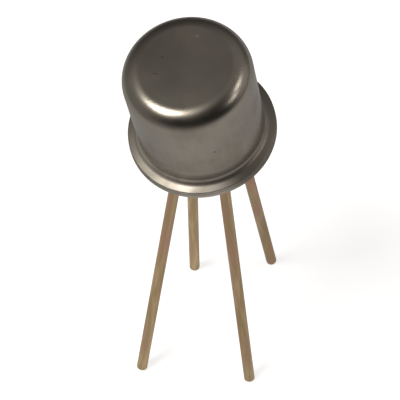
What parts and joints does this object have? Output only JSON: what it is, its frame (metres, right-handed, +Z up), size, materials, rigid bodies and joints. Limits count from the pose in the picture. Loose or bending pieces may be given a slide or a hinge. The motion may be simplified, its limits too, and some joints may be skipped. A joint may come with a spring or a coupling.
{
  "type": "dual-gate mosfet",
  "caption": "Small round metal-can transistor on spread wire leads, with two gates for radio-frequency amplifying and mixing.",
  "frame": {"origin": "on the surface that the four lead ends stand on, under the middle of the whole part", "axes": "+Z up from that surface; the can leans 8.4 degrees from +Z towards 235.9 degrees from +X, and its locating tab points to 66.8 degrees from +X"},
  "size_m": [0.0065, 0.0072, 0.0175],
  "materials": {
    "cap_metal": "satin nickel plate, dulled and finely scratched",
    "header_metal": "satin nickel plate",
    "seal_glass": "fused dark sealing glass, smooth, not see-through",
    "lead_plate": "thin gold plate over iron-nickel wire, dulled and streaked",
    "silicon": "polished silicon, not see-through",
    "attach_alloy": "matt gold alloy",
    "bond_wire": "bright fine gold wire"
  },
  "bodies": {
    "root": {"cap": "cap_metal", "header": "header_metal", "glass_seal": "seal_glass", "lead_1_drain": "lead_plate", "lead_2_gate_2": "lead_plate", "lead_3_gate_1": "lead_plate", "lead_4_source": "lead_plate", "die": "silicon", "die_attach": "attach_alloy", "wire_drain": "bond_wire", "wire_gate_2": "bond_wire", "wire_gate_1": "bond_wire", "wire_source": "bond_wire"}
  },
  "joints": []
}
